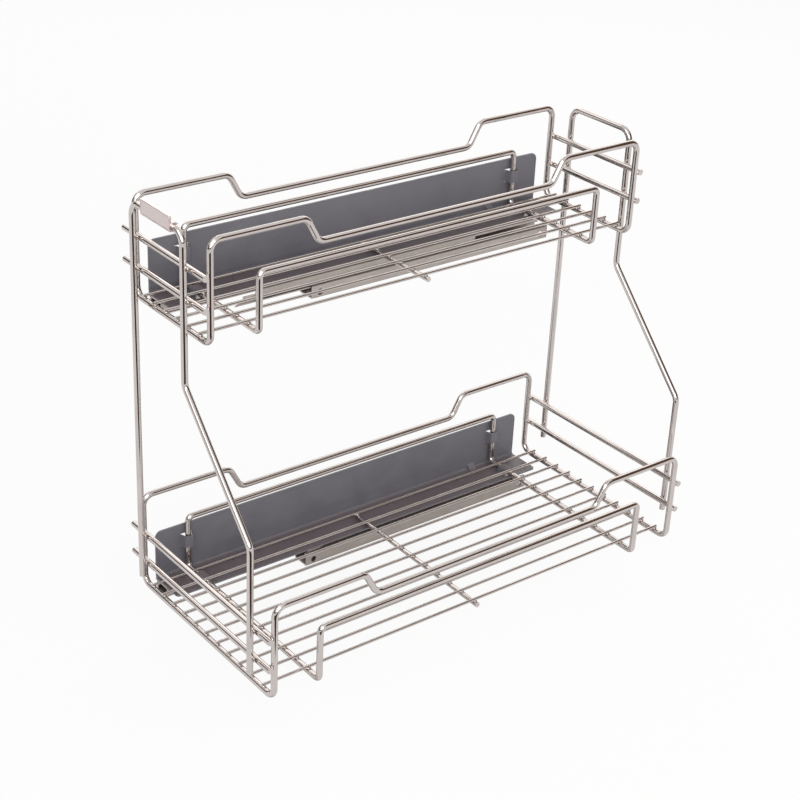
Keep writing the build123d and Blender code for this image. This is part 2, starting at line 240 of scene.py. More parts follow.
def new_group(name, inputs, outputs):
    """Start a node group with its named inputs and outputs."""
    tree = bpy.data.node_groups.new(name, "ShaderNodeTree")
    for label, kind, default in inputs:
        socket = tree.interface.new_socket(name=label, in_out="INPUT", socket_type=kind)
        socket.default_value = default
    for label, kind in outputs:
        tree.interface.new_socket(name=label, in_out="OUTPUT", socket_type=kind)
    return tree, tree.nodes.new("NodeGroupInput"), tree.nodes.new("NodeGroupOutput")


def surface_grain():
    """Noise at a given grain size, stretched along the piece, and its slow patches."""
    name = "Surface grain"
    if name in bpy.data.node_groups:
        return bpy.data.node_groups[name]
    tree, given, result = new_group(
        name,
        [("Grains per metre", "NodeSocketFloat", 800.0),
         ("Stretch", "NodeSocketVector", (1.0, 1.0, 1.0)),
         ("Patches per metre", "NodeSocketFloat", 18.0)],
        [("Grain", "NodeSocketFloat"), ("Patches", "NodeSocketFloat")])
    place = add_node(tree, "ShaderNodeTexCoord")
    stretched = add_node(tree, "ShaderNodeVectorMath", operation="MULTIPLY")
    link(tree, place.outputs["Object"], stretched.inputs[0])
    link(tree, given.outputs["Stretch"], stretched.inputs[1])
    fine = add_node(tree, "ShaderNodeTexNoise", {"Detail": 3.0, "Roughness": 0.55})
    link(tree, stretched.outputs[0], fine.inputs["Vector"])
    link(tree, given.outputs["Grains per metre"], fine.inputs["Scale"])
    slow = add_node(tree, "ShaderNodeTexNoise", {
        "Detail": 2.0, "Roughness": 0.5, "Distortion": 0.6})
    link(tree, place.outputs["Object"], slow.inputs["Vector"])
    link(tree, given.outputs["Patches per metre"], slow.inputs["Scale"])
    link(tree, fine.outputs["Fac"], result.inputs["Grain"])
    link(tree, slow.outputs["Fac"], result.inputs["Patches"])
    return tree


def broken_up(tree, given, mask, least, detail, roughness, from_low=0.3, from_high=0.7):
    """Thin a mask out by a noise, down to the least share of it."""
    place = add_node(tree, "ShaderNodeTexCoord")
    noise = add_node(tree, "ShaderNodeTexNoise", {"Detail": detail, "Roughness": roughness})
    link(tree, place.outputs["Object"], noise.inputs["Vector"])
    link(tree, given.outputs["Breakup per metre"], noise.inputs["Scale"])
    patchy = spread(tree, noise.outputs["Fac"], least, 1.0, from_low, from_high)
    both = add_node(tree, "ShaderNodeMath", operation="MULTIPLY")
    link(tree, mask, both.inputs[0])
    link(tree, patchy, both.inputs[1])
    return both.outputs[0]


def edge_wear_and_highlight():
    """Mask of the outer edges, worn by rubbing, broken up by a fine noise; the finishes lighten
    them as worn metal and as a painted edge highlight.
    """
    name = "Edge wear"
    if name in bpy.data.node_groups:
        return bpy.data.node_groups[name]
    tree, given, result = new_group(
        name,
        [("Reach", "NodeSocketFloat", 0.001), ("Breakup per metre", "NodeSocketFloat", 300.0)],
        [("Wear_and_highlight", "NodeSocketFloat")])
    rounded = add_node(tree, "ShaderNodeBevel", samples=6)
    link(tree, given.outputs["Reach"], rounded.inputs["Radius"])
    facing = add_node(tree, "ShaderNodeNewGeometry")
    along = add_node(tree, "ShaderNodeVectorMath", operation="DOT_PRODUCT")
    link(tree, rounded.outputs["Normal"], along.inputs[0])
    link(tree, facing.outputs["Normal"], along.inputs[1])
    turned = spread(tree, along.outputs["Value"], from_low=0.995, from_high=0.86)
    worn = broken_up(tree, given, turned, least=0.25, detail=3.0, roughness=0.6,
                     from_low=0.38, from_high=0.62)
    link(tree, worn, result.inputs["Wear_and_highlight"])
    return tree


def hollow_grease_and_shade():
    """Mask of the deep hollows, broken up by a noise: lubricant and dirt collect there, and it also
    paints shade in them.
    """
    name = "Hollow grease"
    if name in bpy.data.node_groups:
        return bpy.data.node_groups[name]
    tree, given, result = new_group(
        name,
        [("Depth", "NodeSocketFloat", 0.01), ("Breakup per metre", "NodeSocketFloat", 160.0)],
        [("Grease_and_shade", "NodeSocketFloat")])
    open_share = add_node(tree, "ShaderNodeAmbientOcclusion", samples=8)
    link(tree, given.outputs["Depth"], open_share.inputs["Distance"])
    closed = spread(tree, open_share.outputs["AO"], from_low=0.55, from_high=0.15)
    greasy_and_shaded = broken_up(tree, given, closed, least=0.7, detail=2.0, roughness=0.5)
    link(tree, greasy_and_shaded, result.inputs["Grease_and_shade"])
    return tree


def settled_dust_and_shade():
    """Mask of the faces that look up, broken up by a noise: dust settles there, and the finishes
    also use it to paint the tone that the light gives those faces.
    """
    name = "Settled dust"
    if name in bpy.data.node_groups:
        return bpy.data.node_groups[name]
    tree, given, result = new_group(
        name, [("Breakup per metre", "NodeSocketFloat", 60.0)], [("Dust_and_shade", "NodeSocketFloat")])
    facing = add_node(tree, "ShaderNodeNewGeometry")
    parts = add_node(tree, "ShaderNodeSeparateXYZ")
    link(tree, facing.outputs["Normal"], parts.inputs[0])
    level = spread(tree, parts.outputs["Z"], from_low=0.6, from_high=0.95)
    dusty_and_shaded = broken_up(tree, given, level, least=0.75, detail=3.0, roughness=0.6)
    link(tree, dusty_and_shaded, result.inputs["Dust_and_shade"])
    return tree


def place_group(tree, group, values):
    """Place a node group in a material with values of its own."""
    made = tree.nodes.new("ShaderNodeGroup")
    made.node_tree = group
    for key, value in values.items():
        made.inputs[key].default_value = value
    return made


def new_finish(name):
    """Start a material and hand out its tree and its shader."""
    material = bpy.data.materials.new(name)
    material.use_nodes = True
    tree = material.node_tree
    return material, tree, tree.nodes["Principled BSDF"]


def tint(tree, factor, colour_a, colour_b):
    """Mix two colours, or a colour and a socket, by a mask."""
    mixed = add_node(tree, "ShaderNodeMix", data_type="RGBA")
    link(tree, factor, mixed.inputs["Factor"])
    for key, colour in (("A", colour_a), ("B", colour_b)):
        socket = [s for s in mixed.inputs if s.name == key and s.type == "RGBA"][0]
        if isinstance(colour, bpy.types.NodeSocket):
            link(tree, colour, socket)
        else:
            socket.default_value = (*colour, 1.0)
    return [s for s in mixed.outputs if s.type == "RGBA"][0]


def raise_by(tree, base, mask, most):
    """Add a share of a mask to a value."""
    summed = add_node(tree, "ShaderNodeMath", operation="MULTIPLY_ADD")
    link(tree, mask, summed.inputs[0])
    summed.inputs[1].default_value = most
    link(tree, base, summed.inputs[2])
    return summed.outputs[0]


def bump(tree, height, strength, distance):
    """Turn a height into the normal of a bumpy surface."""
    raised = add_node(tree, "ShaderNodeBump", {"Strength": strength, "Distance": distance})
    link(tree, height, raised.inputs["Height"])
    return raised.outputs["Normal"]


def shade(colour, factor):
    """Darken or lighten a colour."""
    return tuple(min(1.0, channel * factor) for channel in colour)


def chrome_finish(finishes):
    """Bright plating with slow cloudy patches and a faint grain."""
    name = "chrome plate"
    if name in bpy.data.materials:
        return bpy.data.materials[name]
    material, tree, metal = new_finish(name)
    colour = tuple(finishes.chrome_colour)
    dull, bright = shade(colour, 0.93), shade(colour, 1.05)
    clean = finishes.chrome_rough
    cloudy = clean + 0.07
    grain = place_group(tree, surface_grain(), {
        "Grains per metre": 420.0, "Stretch": (0.5, 0.5, 0.5), "Patches per metre": 26.0})
    patches = grain.outputs["Patches"]
    normal = bump(tree, grain.outputs["Grain"], strength=0.10, distance=0.12 * MM)
    metal.inputs["Metallic"].default_value = 1.0
    link(tree, tint(tree, spread(tree, patches), dull, bright), metal.inputs["Base Color"])
    link(tree, spread(tree, patches, clean, cloudy), metal.inputs["Roughness"])
    link(tree, normal, metal.inputs["Normal"])
    return material


def paint_finish(finishes):
    """Satin powder coat: speckled and hazy, lighter at its edges where it is worn and as a painted
    highlight, and tinted on top by dust and by painted reflection and shade.
    """
    name = "grey powder coat"
    if name in bpy.data.materials:
        return bpy.data.materials[name]
    material, tree, coat = new_finish(name)
    colour = tuple(finishes.paint_colour)
    dark_speck, light_speck, bare_and_highlit_edge = (shade(colour, factor) for factor in (0.90, 1.14, 2.6))
    satin, matt = finishes.paint_rough - 0.05, finishes.paint_rough + 0.10
    grain = place_group(tree, surface_grain(), {
        "Grains per metre": 1100.0, "Stretch": (1.0, 1.0, 1.0), "Patches per metre": 30.0})
    patches = grain.outputs["Patches"]
    wear_and_highlight = place_group(tree, edge_wear_and_highlight(), {"Reach": 0.9 * MM, "Breakup per metre": 260.0})
    dust = place_group(tree, settled_dust_and_shade(), {"Breakup per metre": 45.0})
    specks = spread(tree, grain.outputs["Grain"], from_low=0.42, from_high=0.66)
    speckled = tint(tree, specks, dark_speck, light_speck)
    hazy = tint(tree, spread(tree, patches, high=0.10), speckled, tuple(finishes.haze_colour))
    # Lighter edges: partly worn by rubbing, partly a painted edge highlight.
    rubbed_and_highlit = tint(tree, weaken(tree, wear_and_highlight.outputs["Wear_and_highlight"], 0.55), hazy, bare_and_highlit_edge)
    # Faces that look up take this tone: partly dust, partly painted reflection and shade.
    dusty_and_shaded = tint(tree, weaken(tree, dust.outputs["Dust_and_shade"], 0.8), rubbed_and_highlit, tuple(finishes.dust_and_shade_colour))
    normal = bump(tree, grain.outputs["Grain"], strength=0.22, distance=0.25 * MM)
    link(tree, dusty_and_shaded, coat.inputs["Base Color"])
    link(tree, spread(tree, patches, satin, matt), coat.inputs["Roughness"])
    link(tree, normal, coat.inputs["Normal"])
    return material


def zinc_finish(finishes):
    """Zinc plating: drawn along the rails and spangled, dark in the hollows from lubricant and
    painted shade, darker on top as painted shade, and lighter at the edges where worn and as a
    painted highlight.
    """
    name = "zinc plate"
    if name in bpy.data.materials:
        return bpy.data.materials[name]
    material, tree, metal = new_finish(name)
    colour = tuple(finishes.zinc_colour)
    dark_streak, light_streak, cloud, bare_and_highlit_edge, dull = (
        shade(colour, factor) for factor in (0.86, 1.08, 0.74, 1.35, 0.66))
    smooth, rough = finishes.zinc_rough - 0.06, finishes.zinc_rough + 0.08
    grain = place_group(tree, surface_grain(), {
        "Grains per metre": 900.0, "Stretch": (0.05, 1.0, 1.0), "Patches per metre": 34.0})
    streaks = grain.outputs["Grain"]
    wear_and_highlight = place_group(tree, edge_wear_and_highlight(), {"Reach": 0.7 * MM, "Breakup per metre": 340.0})
    grease_and_shade = place_group(tree, hollow_grease_and_shade(), {"Depth": 14 * MM, "Breakup per metre": 160.0})
    dust = place_group(tree, settled_dust_and_shade(), {"Breakup per metre": 70.0})
    place = add_node(tree, "ShaderNodeTexCoord")
    spangle = add_node(tree, "ShaderNodeTexVoronoi", {"Scale": 210.0, "Randomness": 1.0})
    link(tree, place.outputs["Object"], spangle.inputs["Vector"])
    crystal = add_node(tree, "ShaderNodeSeparateColor")
    link(tree, spangle.outputs["Color"], crystal.inputs["Color"])

    streaked = tint(tree, spread(tree, streaks), dark_streak, light_streak)
    clouded = tint(tree, spread(tree, grain.outputs["Patches"], high=0.45), streaked, cloud)
    # Lighter edges: partly worn by rubbing, partly a painted edge highlight.
    rubbed_and_highlit = tint(tree, weaken(tree, wear_and_highlight.outputs["Wear_and_highlight"], 0.6), clouded, bare_and_highlit_edge)
    # Darkens the hollows: partly lubricant and dirt, partly painted shade where the light can't
    # reach.
    greased_and_shaded = tint(tree, grease_and_shade.outputs["Grease_and_shade"], rubbed_and_highlit, tuple(finishes.grease_and_shade_colour))
    # Faces that look up are darkened as painted shade; the same mask makes them rougher, for dust.
    dusted_and_shaded = tint(tree, weaken(tree, dust.outputs["Dust_and_shade"], 0.9), greased_and_shaded, dull)
    spangled = raise_by(tree, spread(tree, streaks, smooth, rough), crystal.outputs["Red"], 0.10)
    matt = raise_by(tree, spangled, dust.outputs["Dust_and_shade"], 0.24)
    normal = bump(tree, streaks, strength=0.12, distance=0.2 * MM)
    metal.inputs["Metallic"].default_value = 1.0
    link(tree, dusted_and_shaded, metal.inputs["Base Color"])
    link(tree, matt, metal.inputs["Roughness"])
    link(tree, normal, metal.inputs["Normal"])
    return material


def nylon_finish(finishes):
    """Dark moulded nylon with a fine grain."""
    name = "moulded nylon"
    if name in bpy.data.materials:
        return bpy.data.materials[name]
    material, tree, plastic = new_finish(name)
    colour = tuple(finishes.nylon_colour)
    dark, light = shade(colour, 0.85), shade(colour, 1.3)
    satin, matt = 0.48, 0.62
    grain = place_group(tree, surface_grain(), {
        "Grains per metre": 1500.0, "Stretch": (1.0, 1.0, 1.0), "Patches per metre": 60.0})
    patches = grain.outputs["Patches"]
    normal = bump(tree, grain.outputs["Grain"], strength=0.2, distance=0.2 * MM)
    link(tree, tint(tree, spread(tree, patches), dark, light), plastic.inputs["Base Color"])
    link(tree, spread(tree, patches, satin, matt), plastic.inputs["Roughness"])
    link(tree, normal, plastic.inputs["Normal"])
    return material


def plate_finish(finishes):
    """Aluminium brushed along the plate, lighter at its edges, partly worn and partly a painted
    edge highlight.
    """
    name = "brushed aluminium"
    if name in bpy.data.materials:
        return bpy.data.materials[name]
    material, tree, metal = new_finish(name)
    colour = tuple(finishes.plate_colour)
    dark_stroke, light_stroke, bare_and_highlit_edge = (shade(colour, factor) for factor in (0.86, 1.06, 1.25))
    smooth, rough = 0.26, 0.42
    grain = place_group(tree, surface_grain(), {
        "Grains per metre": 2600.0, "Stretch": (1.0, 0.04, 1.0), "Patches per metre": 70.0})
    strokes = grain.outputs["Grain"]
    wear_and_highlight = place_group(tree, edge_wear_and_highlight(), {"Reach": 0.6 * MM, "Breakup per metre": 500.0})
    brushed = tint(tree, spread(tree, strokes), dark_stroke, light_stroke)
    # Lighter edges: partly worn by rubbing, partly a painted edge highlight.
    rubbed_and_highlit = tint(tree, weaken(tree, wear_and_highlight.outputs["Wear_and_highlight"], 0.7), brushed, bare_and_highlit_edge)
    normal = bump(tree, strokes, strength=0.18, distance=0.1 * MM)
    metal.inputs["Metallic"].default_value = 1.0
    link(tree, rubbed_and_highlit, metal.inputs["Base Color"])
    link(tree, spread(tree, strokes, smooth, rough), metal.inputs["Roughness"])
    link(tree, normal, metal.inputs["Normal"])
    return material


def dress_node(name, material):
    """Give a solid of the frame its finish."""
    piece = frame["nodes"][name]
    for slot in piece.material_slots:
        slot.material = material
    return piece


# A wire's cut end is a sharper edge than this, in degrees, and its tube isn't.
WIRE_END_ANGLE = 50
WIRE_END_STEPS = 3


def round_wire_ends(piece, width):
    """Round off the cut ends of a wire."""
    edges = piece.modifiers.new("Worked edges", "BEVEL")
    edges.width = width
    edges.segments = WIRE_END_STEPS
    edges.limit_method = "ANGLE"
    edges.angle_limit = math.radians(WIRE_END_ANGLE)
    edges.use_clamp_overlap = True


def rack_piece(name, mesh_builder, material):
    """Turn a filled bmesh into a piece that rides on the rack."""
    mesh = bpy.data.meshes.new(name)
    bmesh.ops.recalc_face_normals(mesh_builder, faces=mesh_builder.faces[:])
    mesh_builder.to_mesh(mesh)
    mesh_builder.free()
    for face in mesh.polygons:
        face.use_smooth = True
    mesh.materials.append(material)
    piece = bpy.data.objects.new(name, mesh)
    bpy.context.scene.collection.objects.link(piece)
    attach(piece, "rack")


WELD_SIDES = 16
# Shares of the reach and of the half thickness at each ring, from the middle outwards.
WELD_RING_SHARES = ((0.42, 0.93), (0.78, 0.62), (1.0, 0.14))
# How far a weld's outline departs from a circle, evenly and by chance.
WELD_LOBE_SHARE = 0.10
WELD_CHANCE_SHARE = 0.05
FLOOR_WELD_SEED = 11
RAIL_WELD_SEED = 23


def weld_flash(mesh_builder, place, across, reach, thickness, draw):
    """Add the lobed lens of metal that is pressed out where two wires are welded."""
    across = across.normalized()
    side = across.orthogonal().normalized()
    ahead = across.cross(side)
    lobe = draw.uniform(0, math.pi)
    swell = []
    for i in range(WELD_SIDES):
        lobed = WELD_LOBE_SHARE * math.cos(2 * (math.tau * i / WELD_SIDES - lobe))
        chance = draw.uniform(-WELD_CHANCE_SHARE, WELD_CHANCE_SHARE)
        swell.append(reach * (1 + lobed + chance))
    rings = []
    profile = list(WELD_RING_SHARES)
    profile += [(out, -up) for out, up in reversed(WELD_RING_SHARES)]
    top = mesh_builder.verts.new(place + across * thickness)
    for out, up in profile:
        ring = []
        for i in range(WELD_SIDES):
            turn = math.tau * i / WELD_SIDES
            spoke = side * math.cos(turn) + ahead * math.sin(turn)
            ring.append(mesh_builder.verts.new(
                place + spoke * swell[i] * out + across * thickness * up))
        rings.append(ring)
    bottom = mesh_builder.verts.new(place - across * thickness)
    for i in range(WELD_SIDES):
        j = (i + 1) % WELD_SIDES
        mesh_builder.faces.new((top, rings[0][i], rings[0][j]))
        for inner, outer in zip(rings, rings[1:]):
            mesh_builder.faces.new((inner[i], outer[i], outer[j], inner[j]))
        mesh_builder.faces.new((bottom, rings[-1][j], rings[-1][i]))


BEAD_STEPS = 6


def raised_bead(mesh_builder, path, up, half_width, height):
    """Add a rounded bead that stands on a flat face along a closed path."""
    turns = [math.pi * i / BEAD_STEPS for i in range(BEAD_STEPS + 1)]
    rings = []
    for before, place, after in zip(path[-1:] + path[:-1], path, path[1:] + path[:1]):
        side = (after - before).cross(up).normalized()
        rings.append([mesh_builder.verts.new(
            place + side * half_width * math.cos(turn) + up * height * math.sin(turn))
            for turn in turns])
    for ring, next_ring in zip(rings, rings[1:] + rings[:1]):
        for i in range(len(turns)):
            j = (i + 1) % len(turns)
            mesh_builder.faces.new((ring[i], ring[j], next_ring[j], next_ring[i]))


class RACK_OT_wires(bpy.types.Operator):
    """Chrome the bent and straight wires and round their cut ends"""

    bl_idname = "rack.wires"
    bl_label = "Chrome the wires"

    def execute(self, context):
        chrome = chrome_finish(context.scene.rack_finishes)
        chamfer = context.scene.rack_sizes.wire_chamfer
        cut = [rail_name(tier, end, level) for tier in TIERS for end in ENDS for level in LEVELS]
        cut += [f"{tier}_cross_wire" for tier in TIERS]
        cut += [name for tier in TIERS for name in FLOOR_WIRES[tier]]
        cut += [f"{end}_end_frame" for end in ENDS]
        for name in cut:
            round_wire_ends(dress_node(name, chrome), chamfer)
        for tier in TIERS:
            dress_node(f"{tier}_outer_hoop", chrome)
            dress_node(f"{tier}_inner_hoop", chrome)
        return {"FINISHED"}


class RACK_OT_carriers(bpy.types.Operator):
    """Paint the two sheet carriers"""

    bl_idname = "rack.carriers"
    bl_label = "Paint the carriers"

    def execute(self, context):
        paint = paint_finish(context.scene.rack_finishes)
        for tier in TIERS:
            dress_node(f"{tier}_carrier", paint)
        return {"FINISHED"}


class RACK_OT_slides(bpy.types.Operator):
    """Finish the telescopic slides: zinc rails, painted rivets and nylon glides"""

    bl_idname = "rack.slides"
    bl_label = "Finish the slides"

    def execute(self, context):
        finishes = context.scene.rack_finishes
        zinc = zinc_finish(finishes)
        paint = paint_finish(finishes)
        nylon = nylon_finish(finishes)
        for tier in TIERS:
            for rail in ("fixed_rail", "middle_rail", "top_rail"):
                dress_node(f"{tier}_{rail}", zinc)
            dress_node(f"{tier}_rivets", paint)
            for glide in ("fixed_glide", "middle_door_glide",
                          "middle_back_glide", "top_back_glide"):
                dress_node(f"{tier}_{glide}", nylon)
        return {"FINISHED"}


# What counts as lying in the plate's face.
FACE_PLAY = 0.1 * MM
# Inset, corner radius and height of the plate's rim, as shares of its half width.
RIM_INSET_SHARE = 2
RIM_CORNER_SHARE = 3
RIM_HEIGHT_SHARE = 0.7
RIM_CORNER_STEPS = 6


class RACK_OT_plate(bpy.types.Operator):
    """Brush the bare name plate and press a rim into its face"""

    bl_idname = "rack.plate"
    bl_label = "Finish the name plate"

    def execute(self, context):
        rim = context.scene.rack_sizes.plate_rim
        brushed = plate_finish(context.scene.rack_finishes)
        plate = dress_node("name_plate", brushed)
        face_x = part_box("name_plate")[0].x
        face = [corner.co for corner in plate.data.vertices if corner.co.x < face_x + FACE_PLAY]
        if not face:
            raise RuntimeError("the name plate has no face on the door side")
        low_y, high_y = min(c.y for c in face), max(c.y for c in face)
        low_z, high_z = min(c.z for c in face), max(c.z for c in face)
        corner_r = RIM_CORNER_SHARE * rim
        inset = RIM_INSET_SHARE * rim + corner_r
        path = []
        for middle_y, middle_z, start in ((high_y - inset, high_z - inset, 0),
                                          (low_y + inset, high_z - inset, 90),
                                          (low_y + inset, low_z + inset, 180),
                                          (high_y - inset, low_z + inset, 270)):
            for i in range(RIM_CORNER_STEPS + 1):
                turn = math.radians(start + 90 * i / RIM_CORNER_STEPS)
                path.append(Vector((face_x, middle_y + corner_r * math.cos(turn),
                                    middle_z + corner_r * math.sin(turn))))
        beads = bmesh.new()
        raised_bead(beads, path, Vector((-1, 0, 0)), rim, RIM_HEIGHT_SHARE * rim)
        rack_piece("plate_rim", beads, brushed)
        return {"FINISHED"}


class RACK_OT_floor_welds(bpy.types.Operator):
    """Weld the floor wires of both baskets to the wires under them"""

    bl_idname = "rack.floor_welds"
    bl_label = "Weld the basket floors"

    def execute(self, context):
        sizes = context.scene.rack_sizes
        chrome = chrome_finish(context.scene.rack_finishes)
        draw = random.Random(FLOOR_WELD_SEED)
        for tier in TIERS:
            welds = bmesh.new()
            seats = []
            for hoop in ("outer_hoop", "inner_hoop"):
                low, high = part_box(f"{tier}_{hoop}")
                seat_z = low.z + 2 * WIRE_R
                seats += [(low.x + WIRE_R, seat_z), (high.x - WIRE_R, seat_z)]
            low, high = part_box(f"{tier}_cross_wire")
            seats.append(((low.x + high.x) / 2, high.z))
            for name in FLOOR_WIRES[tier]:
                low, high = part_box(name)
                for x, seat_z in seats:
                    place = Vector((x, (low.y + high.y) / 2, (seat_z + low.z) / 2))
                    weld_flash(welds, place, Vector((0, 0, 1)), sizes.floor_weld,
                               sizes.weld_thickness, draw)
            rack_piece(f"{tier}_floor_welds", welds, chrome)
        return {"FINISHED"}


class RACK_OT_rail_welds(bpy.types.Operator):
    """Weld the end rails to the hoops and to the end frames"""

    bl_idname = "rack.rail_welds"
    bl_label = "Weld the end rails"

    def execute(self, context):
        sizes = context.scene.rack_sizes
        chrome = chrome_finish(context.scene.rack_finishes)
        draw = random.Random(RAIL_WELD_SEED)
        across = Vector((1, 0, 0))
        upper_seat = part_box("upper_outer_hoop")[0].z
        for end in ENDS:
            welds = bmesh.new()
            frame_low, frame_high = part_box(f"{end}_end_frame")
            frame_x = (frame_low.x + frame_high.x) / 2
            wall_post = frame_high.y - WIRE_R
            corners = [corner.co for corner in frame["nodes"][f"{end}_end_frame"].data.vertices]
            narrow_y = min(corner.y for corner in corners if corner.z > upper_seat)
            open_post = {"lower": frame_low.y + WIRE_R, "upper": narrow_y + WIRE_R}
            for tier in TIERS:
                hoop_low, hoop_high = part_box(f"{tier}_outer_hoop")
                hoop_x = hoop_low.x + WIRE_R if end == "door" else hoop_high.x - WIRE_R
                for level in LEVELS:
                    rail = node_middle(rail_name(tier, end, level))
                    for y in (hoop_low.y + WIRE_R, hoop_high.y - WIRE_R):
                        weld_flash(welds, Vector(((rail.x + hoop_x) / 2, y, rail.z)), across,
                                   sizes.rail_weld, sizes.weld_thickness, draw)
                    for y in (wall_post, open_post[tier]):
                        weld_flash(welds, Vector(((rail.x + frame_x) / 2, y, rail.z)), across,
                                   sizes.rail_weld, sizes.weld_thickness, draw)
            rack_piece(f"{end}_rail_welds", welds, chrome)
        return {"FINISHED"}


def seen_directly(tree):
    """Mask of the rays that show a surface: straight, mirrored or through glass."""
    rays = add_node(tree, "ShaderNodeLightPath")
    first = add_node(tree, "ShaderNodeMath", operation="MAXIMUM")
    link(tree, rays.outputs["Is Camera Ray"], first.inputs[0])
    link(tree, rays.outputs["Is Glossy Ray"], first.inputs[1])
    both = add_node(tree, "ShaderNodeMath", operation="MAXIMUM")
    link(tree, first.outputs[0], both.inputs[0])
    link(tree, rays.outputs["Is Transmission Ray"], both.inputs[1])
    return both.outputs[0]


def stage_mesh(name, corners, faces, material):
    """Make a surface of the stage, which isn't part of the rack."""
    mesh = bpy.data.meshes.new(name)
    mesh.from_pydata(corners, [], faces)
    mesh.materials.append(material)
    made = bpy.data.objects.new(name, mesh)
    bpy.context.scene.collection.objects.link(made)
    return made


def grid_faces(rows, columns):
    """List the faces between rows of corners."""
    starts = [r * columns + c for r in range(rows - 1) for c in range(columns - 1)]
    return [(start, start + 1, start + columns + 1, start + columns) for start in starts]


def only_mirrored(card):
    """Let the card show in bright metal alone."""
    card.visible_camera = False
    card.visible_diffuse = False
    card.visible_shadow = False
    card.visible_transmission = False
    card.visible_volume_scatter = False


# Upper edge of the standing cards: angle from the camera round the rack, and height in degrees.
DARK_CARD_TOPS = ((-132, 26), (-75, 26), (-50, 14), (45, 14))
BROWN_CARD_TOPS = ((45, 14), (62, 47), (132, 47))
# Their lower edge in degrees, their distance, and how finely they are divided.
CARD_FOOT = 6
CARD_DISTANCE = 1.9
CARD_ROWS = 7
CARD_STEPS = 12
# Distance of the floor mats from the rack's middle, and half their angle there, in degrees.
MAT_ROWS = ((0.34, 5), (0.52, 22), (1.45, 26))
MAT_COLUMNS = 13
MAT_LIFT = 2 * MM
SHADE_LIFT = 1 * MM
FLOOR_REACH = 6.0


def card_wall(name, tops, material):
    """Stand a curved card round the rack that only the bright metal shows."""
    edge = [tops[0]]
    for (left, left_top), (right, right_top) in zip(tops, tops[1:]):
        edge += [(left + (right - left) * i / CARD_STEPS,
                  left_top + (right_top - left_top) * i / CARD_STEPS)
                 for i in range(1, CARD_STEPS + 1)]
    corners = []
    for r in range(CARD_ROWS):
        for aside, top in edge:
            turn = EYE_TURN + math.radians(aside)
            rise = math.radians(CARD_FOOT + (top - CARD_FOOT) * r / (CARD_ROWS - 1))
            out = CARD_DISTANCE * math.cos(rise)
            corners.append((CAD_MIDDLE.x + out * math.cos(turn),
                            CAD_MIDDLE.y + out * math.sin(turn),
                            CAD_MIDDLE.z + CARD_DISTANCE * math.sin(rise)))
    only_mirrored(stage_mesh(name, corners, grid_faces(CARD_ROWS, len(edge)), material))


def floor_mat(name, side, material):
    """Lay a mat on the floor that only the bright metal shows."""
    corners = []
    for out, half_angle in MAT_ROWS:
        for c in range(MAT_COLUMNS):
            turn = side + math.radians(half_angle * (2 * c / (MAT_COLUMNS - 1) - 1))
            corners.append((CAD_MIDDLE.x + out * math.cos(turn),
                            CAD_MIDDLE.y + out * math.sin(turn),
                            CAD_BOX[0].z + MAT_LIFT))
    only_mirrored(stage_mesh(name, corners, grid_faces(len(MAT_ROWS), MAT_COLUMNS), material))


def level_square(low, high, z):
    """List the corners of a level rectangle."""
    return [(low.x, low.y, z), (high.x, low.y, z), (high.x, high.y, z), (low.x, high.y, z)]


def floor_finish(stage):
    """White paper that keeps a little of the rack's shadow."""
    material = bpy.data.materials.new("pale floor")
    material.use_nodes = True
    tree = material.node_tree
    tree.nodes.clear()
    result = add_node(tree, "ShaderNodeOutputMaterial")
    paper = add_node(tree, "ShaderNodeBsdfDiffuse", {"Color": (*stage.floor_colour, 1.0)})
    white = add_node(tree, "ShaderNodeEmission", {"Color": (1, 1, 1, 1), "Strength": 1.0})
    share = add_node(tree, "ShaderNodeMath", operation="MULTIPLY")
    link(tree, seen_directly(tree), share.inputs[0])
    share.inputs[1].default_value = 1.0 - stage.shadow_share
    mixed = add_node(tree, "ShaderNodeMixShader")
    link(tree, share.outputs[0], mixed.inputs["Fac"])
    link(tree, paper.outputs[0], mixed.inputs[1])
    link(tree, white.outputs[0], mixed.inputs[2])
    link(tree, mixed.outputs[0], result.inputs["Surface"])
    return material


def card_finish(name, colour):
    """Even colour that needs no light."""
    material = bpy.data.materials.new(name)
    material.use_nodes = True
    tree = material.node_tree
    tree.nodes.clear()
    result = add_node(tree, "ShaderNodeOutputMaterial")
    even = add_node(tree, "ShaderNodeEmission", {"Color": (*colour, 1.0), "Strength": 1.0})
    link(tree, even.outputs[0], result.inputs["Surface"])
    return material


def studio_world(stage):
    """Even light all round, which is seen as white."""
    world = bpy.data.worlds.new("studio")
    world.use_nodes = True
    tree = world.node_tree
    tree.nodes.clear()
    result = add_node(tree, "ShaderNodeOutputWorld")
    soft = add_node(tree, "ShaderNodeBackground",
                    {"Color": (1, 1, 1, 1), "Strength": stage.sky_level})
    white = add_node(tree, "ShaderNodeBackground", {"Color": (1, 1, 1, 1), "Strength": 1.0})
    mixed = add_node(tree, "ShaderNodeMixShader")
    link(tree, seen_directly(tree), mixed.inputs["Fac"])
    link(tree, soft.outputs[0], mixed.inputs[1])
    link(tree, white.outputs[0], mixed.inputs[2])
    link(tree, mixed.outputs[0], result.inputs["Surface"])
    bpy.context.scene.world = world


